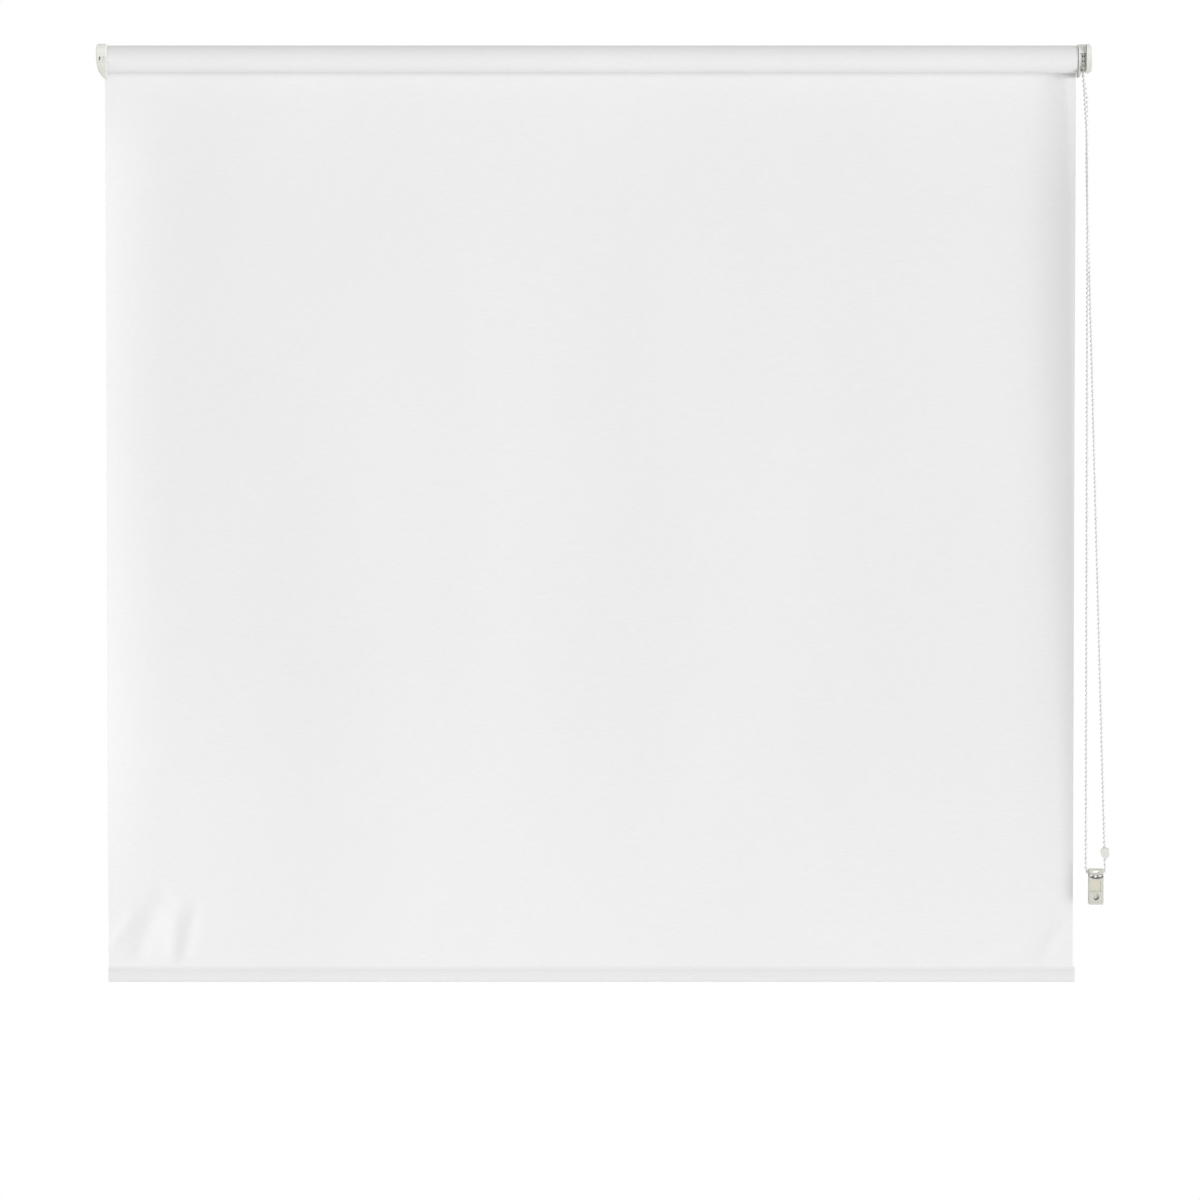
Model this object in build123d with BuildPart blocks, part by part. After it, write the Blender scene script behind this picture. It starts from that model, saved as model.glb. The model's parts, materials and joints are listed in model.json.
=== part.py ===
from build123d import *

import math
import os

# Roller blind with a bead chain, in millimetres. +X runs along the roller towards the chain side,
# +Y points into the wall and +Z points up. The wall is the plane Y = 0, and the origin is the middle
# of the four wall screw holes, level with the roller's axis.

# ---------------------------------------------------------------- driving dimensions
OVERALL_WIDTH = 1300.0
HALF_WIDTH = OVERALL_WIDTH / 2
AXIS_Y = -32.0

TUBE_R = 16.0
TUBE_WALL = 1.2
TUBE_LEFT = -641.5
TUBE_RIGHT = 630.0
KEY_WIDTH = 2.2
KEY_HEIGHT = 2.4
KEY_COUNT = 3

FABRIC_LEFT = -642.0
FABRIC_RIGHT = 632.2
FABRIC_THICKNESS = 0.35
WOUND_LAYERS = 4
TAPE_THICKNESS = 0.25
TAPE_WIDTH = 12.0
HANG_GAP = 0.3

HEM_TOP = -1194.3
HEM_HEIGHT = 20.0
HEM_DEPTH = 4.8
HEM_LEFT = -642.5
HEM_RIGHT = 635.0
BAR_WALL = 0.8

PLATE = 2.0
BRACKET_TOP = 16.0
PLATE_BOTTOM = -11.0
FLANGE_BOTTOM = -14.0
BRACKET_DEPTH = 50.0
FLANGE_REACH = 24.0
SCREW_X = 632.0
SCREW_Z = 8.0
SCREW_HOLE_R = 2.5
IDLE_PLATE_IN = -644.4
CONTROL_PLATE_IN = 644.2
COVER_WALL = 1.6
COVER_TOP = 19.6
COVER_FRONT = 56.3
ROLL_SWEEP_R = 22.3

BEAD_R = 2.25
BEAD_PITCH = 6.0
POCKETS = 15
PITCH_R = BEAD_PITCH / 2 / math.sin(math.pi / POCKETS)
CHAIN_X = 638.9
GUARD_LEFT = 632.6
GUARD_RIGHT = 642.6
GUARD_R = 19.8
GUARD_WALL = 1.4

SPINDLE_R = 6.0
RUNNING = 0.05
SPINDLE_END = 590.0

TENSIONER_X = 661.0
TENSIONER_WIDTH = 20.0
TENSIONER_DEPTH = 10.0
TENSIONER_TOP = -1062.5
TENSIONER_BOTTOM = -1109.6
TENSIONER_WALL = 1.4
TENSIONER_HOLE_Z = -1099.6
SLIDER_TRAVEL = 3.2

# ---------------------------------------------------------------- planes and helpers
# Local x is +Y and local y is +Z, seen along the roller, with the roller's axis at the middle.
ROLLER_PLANE = Plane(origin=(0, AXIS_Y, 0), x_dir=(0, 1, 0), z_dir=(1, 0, 0))
# Local x is +X and local y is +Z, seen from the room, in the plane of the wall.
FRONT_PLANE = Plane(origin=(0, 0, 0), x_dir=(1, 0, 0), z_dir=(0, -1, 0))


def collar(start, end, outer, inner=0.0, mode=Mode.ADD):
    """A round collar about the roller's axis, from start to end along X, in the open part."""
    with BuildSketch(ROLLER_PLANE.offset(start)) as ring:
        Circle(outer)
        if inner > 0:
            Circle(inner, mode=Mode.SUBTRACT)
    extrude(ring.sketch, amount=end - start, mode=mode)


def coil(start, end, radius, wire, turns):
    """A helical spring about the roller's axis, of that mean radius, in the open part."""
    length = end - start - wire
    with BuildLine() as helix:
        path = Helix(length / turns, length, radius, center=(start + wire / 2, AXIS_Y, 0), direction=(1, 0, 0))
    with BuildSketch(Plane(origin=path @ 0, z_dir=path % 0)) as section:
        Circle(wire / 2)
    sweep(section.sketch, path=helix.line, is_frenet=True)


def corner_radii(points):
    """The largest arc that each corner of a chain's route has room for."""
    radii = []
    for before, corner, after in zip(points, points[1:], points[2:]):
        arriving = Vector(*corner) - Vector(*before)
        leaving = Vector(*after) - Vector(*corner)
        half_turn = math.radians(arriving.get_angle(leaving)) / 2
        radii.append(0.45 * min(arriving.length, leaving.length) / math.tan(half_turn))
    return radii


def chain_tube(points, radius=BEAD_R, mode=Mode.ADD):
    """A plain tube along straight runs and tangent arcs, in the open part. Returns its length."""
    with BuildLine() as route:
        path = FilletPolyline(*points, radius=corner_radii(points))
    with BuildSketch(Plane(origin=path @ 0, z_dir=path % 0)) as section:
        Circle(radius)
    sweep(section.sketch, path=route.line, mode=mode)
    return path.length


# ---------------------------------------------------------------- roller and fabric
TUBE_BORE = TUBE_R - TUBE_WALL
ROLL_CORE_R = TUBE_R + TAPE_THICKNESS
ROLL_R = ROLL_CORE_R + WOUND_LAYERS * FABRIC_THICKNESS

with BuildPart() as roller_tube:
    with BuildSketch(ROLLER_PLANE.offset(TUBE_LEFT)) as tube_section:
        Circle(TUBE_R)
        Circle(TUBE_BORE, mode=Mode.SUBTRACT)
        with PolarLocations(TUBE_BORE - KEY_HEIGHT / 2 + TUBE_WALL / 4, KEY_COUNT, start_angle=90):
            Rectangle(KEY_HEIGHT + TUBE_WALL / 2, KEY_WIDTH)
    extrude(amount=TUBE_RIGHT - TUBE_LEFT)

# Strip of double-sided tape on top of the tube, under the first turn of fabric.
with BuildPart() as tube_tape:
    with BuildSketch(ROLLER_PLANE.offset(TUBE_LEFT + 1)):
        with Locations((0, TUBE_R)):
            Rectangle(TAPE_WIDTH, TUBE_R)
        Circle(ROLL_CORE_R, mode=Mode.INTERSECT)
        Circle(TUBE_R, mode=Mode.SUBTRACT)
    extrude(amount=TUBE_RIGHT - TUBE_LEFT - 2)

with BuildPart() as fabric_roll:
    collar(FABRIC_LEFT, FABRIC_RIGHT, ROLL_R, ROLL_CORE_R)

# The fabric leaves the back of the roll and hangs straight down to the hem.
PANEL_FRONT = AXIS_Y + ROLL_R + HANG_GAP
PANEL_BACK = PANEL_FRONT + FABRIC_THICKNESS
with BuildPart() as fabric_panel:
    with BuildSketch(Plane.XY.offset(HEM_TOP + HANG_GAP)):
        with Locations(((FABRIC_LEFT + FABRIC_RIGHT) / 2, (PANEL_FRONT + PANEL_BACK) / 2)):
            Rectangle(FABRIC_RIGHT - FABRIC_LEFT, FABRIC_THICKNESS)
    extrude(amount=-HEM_TOP - HANG_GAP)

# ---------------------------------------------------------------- hem
HEM_MIDDLE = (PANEL_FRONT + HEM_DEPTH / 2, HEM_TOP - HEM_HEIGHT / 2)
BAR_HEIGHT = HEM_HEIGHT - 2.0
BAR_DEPTH = HEM_DEPTH - 2 * FABRIC_THICKNESS - 0.2
CAP_FLANGE = 1.5
BAR_LEFT = HEM_LEFT + CAP_FLANGE + 0.3
BAR_RIGHT = HEM_RIGHT - CAP_FLANGE - 0.3

with BuildPart() as hem_pocket:
    with BuildSketch(Plane.YZ.offset(HEM_LEFT)):
        with Locations(HEM_MIDDLE):
            RectangleRounded(HEM_DEPTH, HEM_HEIGHT, 2.3)
            RectangleRounded(
                HEM_DEPTH - 2 * FABRIC_THICKNESS, HEM_HEIGHT - 2 * FABRIC_THICKNESS, 1.95, mode=Mode.SUBTRACT
            )
    extrude(amount=HEM_RIGHT - HEM_LEFT)

with BuildPart() as bottom_bar:
    with BuildSketch(Plane.YZ.offset(BAR_LEFT)):
        with Locations(HEM_MIDDLE):
            RectangleRounded(BAR_DEPTH, BAR_HEIGHT, 1.7)
            RectangleRounded(BAR_DEPTH - 2 * BAR_WALL, BAR_HEIGHT - 2 * BAR_WALL, 0.9, mode=Mode.SUBTRACT)
    extrude(amount=BAR_RIGHT - BAR_LEFT)


def bar_cap(flange_start, plug_start, plug_length):
    """End cap of the bottom bar: a flange with a tongue that plugs into the bar, in the open part."""
    with BuildSketch(Plane.YZ.offset(flange_start)) as flange:
        with Locations(HEM_MIDDLE):
            RectangleRounded(BAR_DEPTH, BAR_HEIGHT, 1.7)
    extrude(flange.sketch, amount=CAP_FLANGE)
    with BuildSketch(Plane.YZ.offset(plug_start)) as tongue:
        with Locations(HEM_MIDDLE):
            RectangleRounded(BAR_DEPTH - 2 * BAR_WALL - 0.1, BAR_HEIGHT - 2 * BAR_WALL - 0.1, 0.8)
    extrude(tongue.sketch, amount=plug_length)


with BuildPart() as bar_cap_left:
    bar_cap(BAR_LEFT - CAP_FLANGE, BAR_LEFT, 9.0)

with BuildPart() as bar_cap_right:
    bar_cap(BAR_RIGHT, BAR_RIGHT - 9.0, 9.0)


# ---------------------------------------------------------------- brackets
def bracket(plate_outer, inward):
    """Pressed steel bracket in the open part: a side plate, and a wall flange turned inward."""
    with BuildSketch(Plane.YZ.offset(plate_outer)) as plate:
        with Locations((-BRACKET_DEPTH / 2, (BRACKET_TOP + PLATE_BOTTOM) / 2)):
            Rectangle(BRACKET_DEPTH, BRACKET_TOP - PLATE_BOTTOM)
        fillet(plate.vertices().group_by(Axis.Y)[0], radius=9)
    extrude(plate.sketch, amount=inward * PLATE)
    with BuildSketch(FRONT_PLANE) as flange:
        with Locations((plate_outer + inward * FLANGE_REACH / 2, (BRACKET_TOP + FLANGE_BOTTOM) / 2)):
            Rectangle(FLANGE_REACH, BRACKET_TOP - FLANGE_BOTTOM)
        with Locations((-inward * SCREW_X, SCREW_Z), (-inward * SCREW_X, -SCREW_Z)):
            Circle(SCREW_HOLE_R, mode=Mode.SUBTRACT)
    extrude(flange.sketch, amount=PLATE)


BUSH_R = 5.0
PIN_R = 3.0

with BuildPart() as idle_bracket:
    bracket(IDLE_PLATE_IN - PLATE, 1)
    collar(IDLE_PLATE_IN - 2 * PLATE, IDLE_PLATE_IN + 1, BUSH_R, mode=Mode.SUBTRACT)

with BuildPart() as idle_bush:
    collar(IDLE_PLATE_IN - PLATE, IDLE_PLATE_IN, BUSH_R, PIN_R + RUNNING)
    collar(IDLE_PLATE_IN - PLATE - 1.0, IDLE_PLATE_IN - PLATE, BUSH_R + 2, PIN_R + RUNNING)

BOSS_SIDE = 12.0
with BuildPart() as control_bracket:
    bracket(CONTROL_PLATE_IN + PLATE, -1)
    with BuildSketch(ROLLER_PLANE.offset(CONTROL_PLATE_IN)) as boss_hole:
        Rectangle(BOSS_SIDE, BOSS_SIDE)
    extrude(boss_hole.sketch, amount=PLATE, mode=Mode.SUBTRACT)

# ---------------------------------------------------------------- covers
def rounded_side(depth, bottom, top, corner):
    """Keep only what lies inside a cover's side outline: round front corners, square at the wall."""
    with BuildSketch(Plane.YZ.offset(-HALF_WIDTH - 50)) as side:
        with Locations((-depth / 2, (top + bottom) / 2)):
            RectangleRounded(depth, top - bottom, corner)
        with Locations((-depth / 4, (top + bottom) / 2)):
            Rectangle(depth / 2, top - bottom)
    extrude(side.sketch, amount=OVERALL_WIDTH + 100, mode=Mode.INTERSECT)


COVER_CORNER = 9.0
COVER_BACK = 2.5
LIP_END = -636.1
IDLE_BOTTOM = -27.2
with BuildSketch(FRONT_PLANE.offset(COVER_BACK)) as idle_outline:
    with BuildLine():
        Line((LIP_END, COVER_TOP), (-646.2, COVER_TOP))
        ThreePointArc((-646.2, COVER_TOP), (-648.2, 18.6), (-649.2, 16.4))
        ThreePointArc((-649.2, 16.4), (-HALF_WIDTH, 2.0), (-648.3, -10.5))
        ThreePointArc((-648.3, -10.5), (-644.8, -19.6), (-637.6, IDLE_BOTTOM))
        Line((-637.6, IDLE_BOTTOM), (LIP_END, -26.2))
        Line((LIP_END, -26.2), (LIP_END, COVER_TOP))
    make_face()

# Inside of the idle cover, open towards the roller and the wall.
with BuildPart() as idle_cover_core:
    with BuildSketch(FRONT_PLANE):
        add(offset(idle_outline.sketch_local, amount=-COVER_WALL, mode=Mode.PRIVATE))
        with Locations((LIP_END, (COVER_TOP - 26.2) / 2)):
            Rectangle(2 * COVER_WALL + 2, COVER_TOP + 26.2 - 2 * COVER_WALL)
    extrude(amount=COVER_FRONT)
    rounded_side(
        COVER_FRONT - COVER_WALL, IDLE_BOTTOM + COVER_WALL, COVER_TOP - COVER_WALL, COVER_CORNER - COVER_WALL
    )

with BuildPart() as idle_cover:
    extrude(idle_outline.sketch, amount=COVER_FRONT - COVER_BACK)
    rounded_side(COVER_FRONT, IDLE_BOTTOM, COVER_TOP, COVER_CORNER)
    fillet(idle_cover.edges().group_by(Axis.Y)[0], radius=1.0)
    add(idle_cover_core.part, mode=Mode.SUBTRACT)
    # Only the front lip reaches over the roll, and it stands clear of the fully wound fabric.
    collar(IDLE_PLATE_IN + 0.2, LIP_END + 5, ROLL_SWEEP_R, mode=Mode.SUBTRACT)
    with BuildSketch(FRONT_PLANE):
        with Locations((IDLE_PLATE_IN + 0.2, 0)):
            Rectangle(20, 80, align=(Align.MIN, Align.CENTER))
    extrude(amount=38, mode=Mode.SUBTRACT)
    # Two latch slots, a raised latch bar under them and a notch in the lip.
    with BuildSketch(FRONT_PLANE.offset(COVER_FRONT - 3)):
        with Locations((-645.1, 0.2)):
            Rectangle(2.2, 4.2)
        with Locations((-639.8, 0.6)):
            Rectangle(2.0, 3.6)
        with Locations((LIP_END, -2.5)):
            Rectangle(1.8, 5.2)
    extrude(amount=4, mode=Mode.SUBTRACT)
    with BuildSketch(FRONT_PLANE.offset(COVER_FRONT - 0.4)):
        with Locations((-642.3, -3.9)):
            RectangleRounded(8.4, 1.8, 0.6)
    extrude(amount=1.0)

CONTROL_BOTTOM = -22.6
CONTROL_FRONT = COVER_FRONT - 2.0
with BuildSketch(FRONT_PLANE.offset(COVER_BACK)) as control_outline:
    with BuildLine():
        Line((GUARD_RIGHT, COVER_TOP), (645.6, COVER_TOP))
        ThreePointArc((645.6, COVER_TOP), (648.6, 16.2), (649.7, 10.0))
        ThreePointArc((649.7, 10.0), (HALF_WIDTH, -2.0), (649.0, -15.8))
        Line((649.0, -15.8), (GUARD_RIGHT, CONTROL_BOTTOM))
        Line((GUARD_RIGHT, CONTROL_BOTTOM), (GUARD_RIGHT, COVER_TOP))
    make_face()

# Inside of the control cover, open towards the clutch, the wall and the chain below.
with BuildPart() as control_cover_core:
    with BuildSketch(FRONT_PLANE):
        add(offset(control_outline.sketch_local, amount=-COVER_WALL, mode=Mode.PRIVATE))
        with Locations((GUARD_RIGHT - 2, COVER_TOP - COVER_WALL)):
            Rectangle(4.6, 60, align=(Align.MIN, Align.MAX))
        with Locations((GUARD_RIGHT - 2, -8)):
            Rectangle(6.9, 30, align=(Align.MIN, Align.MAX))
    extrude(amount=CONTROL_FRONT)
    rounded_side(
        CONTROL_FRONT - COVER_WALL, CONTROL_BOTTOM - 20, COVER_TOP - COVER_WALL, COVER_CORNER - COVER_WALL
    )

with BuildPart() as control_cover:
    extrude(control_outline.sketch, amount=CONTROL_FRONT - COVER_BACK)
    rounded_side(CONTROL_FRONT, CONTROL_BOTTOM, COVER_TOP, COVER_CORNER)
    outer_rim = control_cover.edges().group_by(Axis.Y)[0].filter_by(GeomType.CIRCLE)
    fillet(outer_rim, radius=0.9)
    add(control_cover_core.part, mode=Mode.SUBTRACT)

# ---------------------------------------------------------------- chain guard
with BuildPart() as chain_guard:
    # Cheek towards the roller, with a skirt that leads the chain out below.
    with BuildSketch(ROLLER_PLANE.offset(GUARD_LEFT)) as cheek:
        Circle(GUARD_R)
        with Locations((0, -11.7)):
            RectangleRounded(31.0, 23.4, 3.0)
        Circle(12.6, mode=Mode.SUBTRACT)
    extrude(amount=GUARD_WALL)
    # Rim over the top of the wheel, open in front and below.
    with BuildSketch(ROLLER_PLANE.offset(GUARD_LEFT + GUARD_WALL)) as rim:
        with BuildLine():
            over = CenterArc((0, 0), GUARD_R, -18, 175)
            under = CenterArc((0, 0), GUARD_R - GUARD_WALL, -18, 175)
            Line(over @ 0, under @ 0)
            Line(over @ 1, under @ 1)
        make_face()
    extrude(amount=GUARD_RIGHT - GUARD_LEFT - GUARD_WALL)
    # Wedges that keep the beads off the cheek where they leave the wheel.
    for wedge_start in (-AXIS_Y - 15.5, -AXIS_Y + 8.5):
        with BuildSketch(FRONT_PLANE.offset(wedge_start)):
            with BuildLine():
                Polyline(
                    (GUARD_LEFT + GUARD_WALL, -14.5),
                    (GUARD_LEFT + GUARD_WALL + 2.4, -18.5),
                    (GUARD_LEFT + GUARD_WALL, -23.0),
                    close=True,
                )
            make_face()
        extrude(amount=7.0)

# ---------------------------------------------------------------- clutch
with BuildPart() as clutch_core:
    collar(GUARD_RIGHT, CONTROL_PLATE_IN, 17.6)
    with BuildSketch(ROLLER_PLANE.offset(CONTROL_PLATE_IN)):
        Rectangle(BOSS_SIDE - 0.1, BOSS_SIDE - 0.1)
    extrude(amount=PLATE)
    collar(SPINDLE_END, GUARD_RIGHT, SPINDLE_R)
    collar(SPINDLE_END, SPINDLE_END + 14, 1.5, mode=Mode.SUBTRACT)
    collar(CONTROL_PLATE_IN + PLATE - 14, CONTROL_PLATE_IN + PLATE, 1.5, mode=Mode.SUBTRACT)

with BuildPart() as clutch_washer:
    collar(SPINDLE_END - 1.2, SPINDLE_END, 8.5, 1.7)


def screw(head_start, head_end, shank_start, shank_end):
    """Pan-head screw on the roller's axis, in the open part."""
    collar(head_start, head_end, 3.0)
    collar(shank_start, shank_end, 1.45)


def cross_recess(face, into):
    """Cross recess cut from the face of a screw head on the roller's axis."""
    with BuildSketch(ROLLER_PLANE.offset(face)) as cross:
        Rectangle(3.2, 0.7)
        Rectangle(0.7, 3.2)
    extrude(cross.sketch, amount=into, mode=Mode.SUBTRACT)


with BuildPart() as clutch_end_screw:
    screw(SPINDLE_END - 3.2, SPINDLE_END - 1.2, SPINDLE_END - 1.2, SPINDLE_END + 10)
    cross_recess(SPINDLE_END - 3.2, 1.2)

with BuildPart() as bracket_screw:
    screw(CONTROL_PLATE_IN + PLATE, CONTROL_PLATE_IN + PLATE + 1.8, CONTROL_PLATE_IN - 9, CONTROL_PLATE_IN + PLATE)
    cross_recess(CONTROL_PLATE_IN + PLATE + 1.8, -1.1)

WHEEL_LEFT = 634.4
WHEEL_RIGHT = 642.3
WHEEL_R = 17.0
GROOVE_R = BEAD_R + 0.35
SLEEVE_R = 11.0
SLEEVE_BORE = 9.4
with BuildPart() as chain_sprocket:
    collar(WHEEL_LEFT, WHEEL_RIGHT, WHEEL_R)
    # Sleeve with two drive fingers that push the tangs of the wrap springs.
    collar(622.0, WHEEL_LEFT, SLEEVE_R)
    with BuildSketch(ROLLER_PLANE.offset(604.0)):
        Circle(SLEEVE_R)
        Circle(SLEEVE_BORE, mode=Mode.SUBTRACT)
        Rectangle(2 * SLEEVE_R, 6.0, mode=Mode.INTERSECT)
    extrude(amount=18.0)
    collar(600.0, 622.0, SLEEVE_BORE - 0.1, mode=Mode.SUBTRACT)
    collar(600.0, WHEEL_RIGHT + 1, SPINDLE_R + RUNNING, mode=Mode.SUBTRACT)
    # Open groove round the rim, with a round pocket for each bead.
    with BuildSketch(FRONT_PLANE.offset(-AXIS_Y)):
        with Locations((CHAIN_X, PITCH_R)):
            Circle(GROOVE_R)
            Rectangle(2 * GROOVE_R, 6.0, align=(Align.CENTER, Align.MIN))
    revolve(axis=Axis((0, AXIS_Y, 0), (1, 0, 0)), mode=Mode.SUBTRACT)
    for pocket in range(POCKETS):
        angle = 2 * math.pi * (pocket + 0.5) / POCKETS
        pocket_y = AXIS_Y + PITCH_R * math.cos(angle)
        with Locations((CHAIN_X, pocket_y, PITCH_R * math.sin(angle))):
            Sphere(GROOVE_R + 0.35, mode=Mode.SUBTRACT)

with BuildPart() as wrap_spring_outer:
    coil(613.2, 621.4, SPINDLE_R + RUNNING + 0.6, 1.1, 6)

with BuildPart() as wrap_spring_inner:
    coil(604.4, 612.6, SPINDLE_R + RUNNING + 0.6, 1.1, 6)


def key_slots(start, end):
    """Grooves along a plug that slide over the tube's inner keys, cut from the open part."""
    with BuildSketch(ROLLER_PLANE.offset(start)) as slots:
        with PolarLocations(TUBE_BORE - KEY_HEIGHT / 2, KEY_COUNT, start_angle=90):
            Rectangle(KEY_HEIGHT + 0.6, KEY_WIDTH + 0.3)
    extrude(slots.sketch, amount=end - start, mode=Mode.SUBTRACT)


PLUG_R = TUBE_BORE - 0.05
with BuildPart() as drive_plug:
    collar(SPINDLE_END + 0.3, TUBE_RIGHT, PLUG_R, SLEEVE_R + 0.1)
    collar(TUBE_RIGHT, TUBE_RIGHT + 1.6, TUBE_R - 0.1, SLEEVE_R + 0.1)
    collar(SPINDLE_END + 0.3, SPINDLE_END + 6.3, SLEEVE_R + 0.1, SPINDLE_R + RUNNING)
    key_slots(SPINDLE_END, TUBE_RIGHT)

# ---------------------------------------------------------------- idle end
COLLAR_R = 6.0
PLUG_FRONT = TUBE_LEFT - 1.9
PLUG_BACK = -602.0
with BuildPart() as idle_end_plug:
    collar(TUBE_LEFT, PLUG_BACK, PLUG_R)
    collar(PLUG_FRONT, TUBE_LEFT, TUBE_R - 0.1)
    key_slots(TUBE_LEFT, PLUG_BACK + 1)
    collar(PLUG_FRONT + 2.8, PLUG_BACK - 3.0, COLLAR_R + RUNNING, mode=Mode.SUBTRACT)
    collar(PLUG_FRONT - 1, PLUG_BACK + 1, PIN_R + RUNNING, mode=Mode.SUBTRACT)

PIN_TIP = IDLE_PLATE_IN - PLATE - 1.4
with BuildPart() as idle_pin:
    collar(PIN_TIP, PLUG_BACK - 0.5, PIN_R)
    collar(PLUG_FRONT + 3.1, PLUG_FRONT + 6.1, COLLAR_R)
    chamfer(idle_pin.edges().filter_by(GeomType.CIRCLE).group_by(Axis.X)[0], length=0.6)

with BuildPart() as idle_spring:
    coil(PLUG_FRONT + 6.15, PLUG_BACK - 3.05, PIN_R + 1.6, 1.0, 9)

# ---------------------------------------------------------------- bead chain
# The front strand runs down to the left of the tensioner and the back strand to its right, so the loop
# makes a quarter turn on the way.
BEND_Y = AXIS_Y
STRAND_END = -1056.0
STRAIGHT_TOP = (647.93, -20.14, -190.0)
STRAIGHT_END = (673.2, BEND_Y + 0.14, STRAND_END)
FRONT_END = (648.1, BEND_Y - 0.14, STRAND_END)
FRONT_ROUTE = [
    (CHAIN_X, AXIS_Y - PITCH_R, 0.0),
    (639.1, -46.4, -19.0),
    (641.3, -45.9, -52.0),
    (644.6, -45.1, -104.0),
    (645.7, -44.1, -166.0),
    FRONT_END,
]
BACK_ROUTE = [
    (CHAIN_X, AXIS_Y + PITCH_R, 0.0),
    (638.95, -17.6, -12.0),
    (643.3, -17.9, -29.0),
    (646.9, -18.3, -52.0),
    (647.1, -18.8, -92.0),
    (646.0, -19.4, -138.0),
    STRAIGHT_TOP,
    STRAIGHT_END,
]
BEND_ROUTE = [
    FRONT_END,
    (648.13, BEND_Y, -1065.4),
    (653.4, BEND_Y, -1071.0),
    (661.2, BEND_Y, -1073.0),
    (669.2, BEND_Y, -1071.4),
    (673.46, BEND_Y + 0.02, -1065.0),
    STRAIGHT_END,
]

with BuildPart() as chain_wheel_wrap:
    with BuildLine(ROLLER_PLANE.offset(CHAIN_X)) as wrap_path:
        CenterArc((0, 0), PITCH_R, 0, 180)
    with BuildSketch(Plane(origin=wrap_path.line @ 0, z_dir=wrap_path.line % 0)):
        Circle(BEAD_R)
    sweep(path=wrap_path.line)

with BuildPart() as chain_front_strand:
    front_length = chain_tube(FRONT_ROUTE)

with BuildPart() as chain_back_strand:
    back_length = chain_tube(BACK_ROUTE)

with BuildPart() as chain_lower_bend:
    bend_length = chain_tube(BEND_ROUTE)

# The connector is a sleeve on the straight part of the back strand.
STRAND_DIRECTION = (Vector(*STRAIGHT_TOP) - Vector(*STRAIGHT_END)).normalized()
CONNECTOR_Z = -1042.6
CONNECTOR_MIDDLE = Vector(*STRAIGHT_END) + STRAND_DIRECTION * (
    (CONNECTOR_Z - STRAND_END) / STRAND_DIRECTION.Z
)
CONNECTOR_X_DIR = Vector(0, -1, 0).cross(STRAND_DIRECTION) * -1
CONNECTOR_FRONT = Plane(
    origin=CONNECTOR_MIDDLE, x_dir=CONNECTOR_X_DIR, z_dir=CONNECTOR_X_DIR.cross(STRAND_DIRECTION)
)
CONNECTOR_DEPTH = 7.6
CONNECTOR_SPLIT = 3.2


def connector_outline():
    """Front outline of the connector: straight sides, a shouldered top and a pointed bottom."""
    with BuildLine() as outline:
        Polyline((-3.4, 7.4), (4.4, 7.4), (5.4, 6.4), (5.4, -2.8), (0.6, -7.8), (-0.6, -7.8))
        ThreePointArc((-0.6, -7.8), (-4.4, -2.6), (-5.3, 3.0))
        ThreePointArc((-5.3, 3.0), (-4.9, 5.7), (-3.4, 7.4))
    make_face(outline.edges())


def strand_bore():
    """Bore along the back strand, cut from the open part."""
    with BuildSketch(Plane(origin=CONNECTOR_MIDDLE - STRAND_DIRECTION * 12, z_dir=STRAND_DIRECTION)) as bore:
        Circle(BEAD_R + 0.3)
    extrude(bore.sketch, amount=24, mode=Mode.SUBTRACT)


with BuildPart() as connector_shell:
    with BuildSketch(CONNECTOR_FRONT.offset(-CONNECTOR_DEPTH / 2)):
        connector_outline()
        with Locations((CONNECTOR_SPLIT, 0)):
            Rectangle(10, 30, align=(Align.MIN, Align.CENTER), mode=Mode.SUBTRACT)
    extrude(amount=CONNECTOR_DEPTH)
    strand_bore()

with BuildPart() as connector_clip:
    with BuildSketch(CONNECTOR_FRONT.offset(-CONNECTOR_DEPTH / 2)):
        connector_outline()
        with Locations((CONNECTOR_SPLIT, 0)):
            Rectangle(20, 30, align=(Align.MAX, Align.CENTER), mode=Mode.SUBTRACT)
    extrude(amount=CONNECTOR_DEPTH)
    strand_bore()

# ---------------------------------------------------------------- chain tensioner
TENSIONER_FRONT = -BEND_Y + TENSIONER_DEPTH / 2
TENSIONER_BACK = -BEND_Y - TENSIONER_DEPTH / 2
TENSIONER_MIDDLE_Z = (TENSIONER_TOP + TENSIONER_BOTTOM) / 2
TENSIONER_HEIGHT = TENSIONER_TOP - TENSIONER_BOTTOM
SADDLE_CENTRE = (661.2, -1054.0)
CAVITY_TOP = -1077.4
CAVITY_BOTTOM = TENSIONER_BOTTOM + TENSIONER_WALL
CAVITY_WIDTH = TENSIONER_WIDTH - 2 * TENSIONER_WALL - 1.2
WINDOW_TOP = -1078.2
WINDOW_BOTTOM = -1091.6
WINDOW_WIDTH = 12.4

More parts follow.
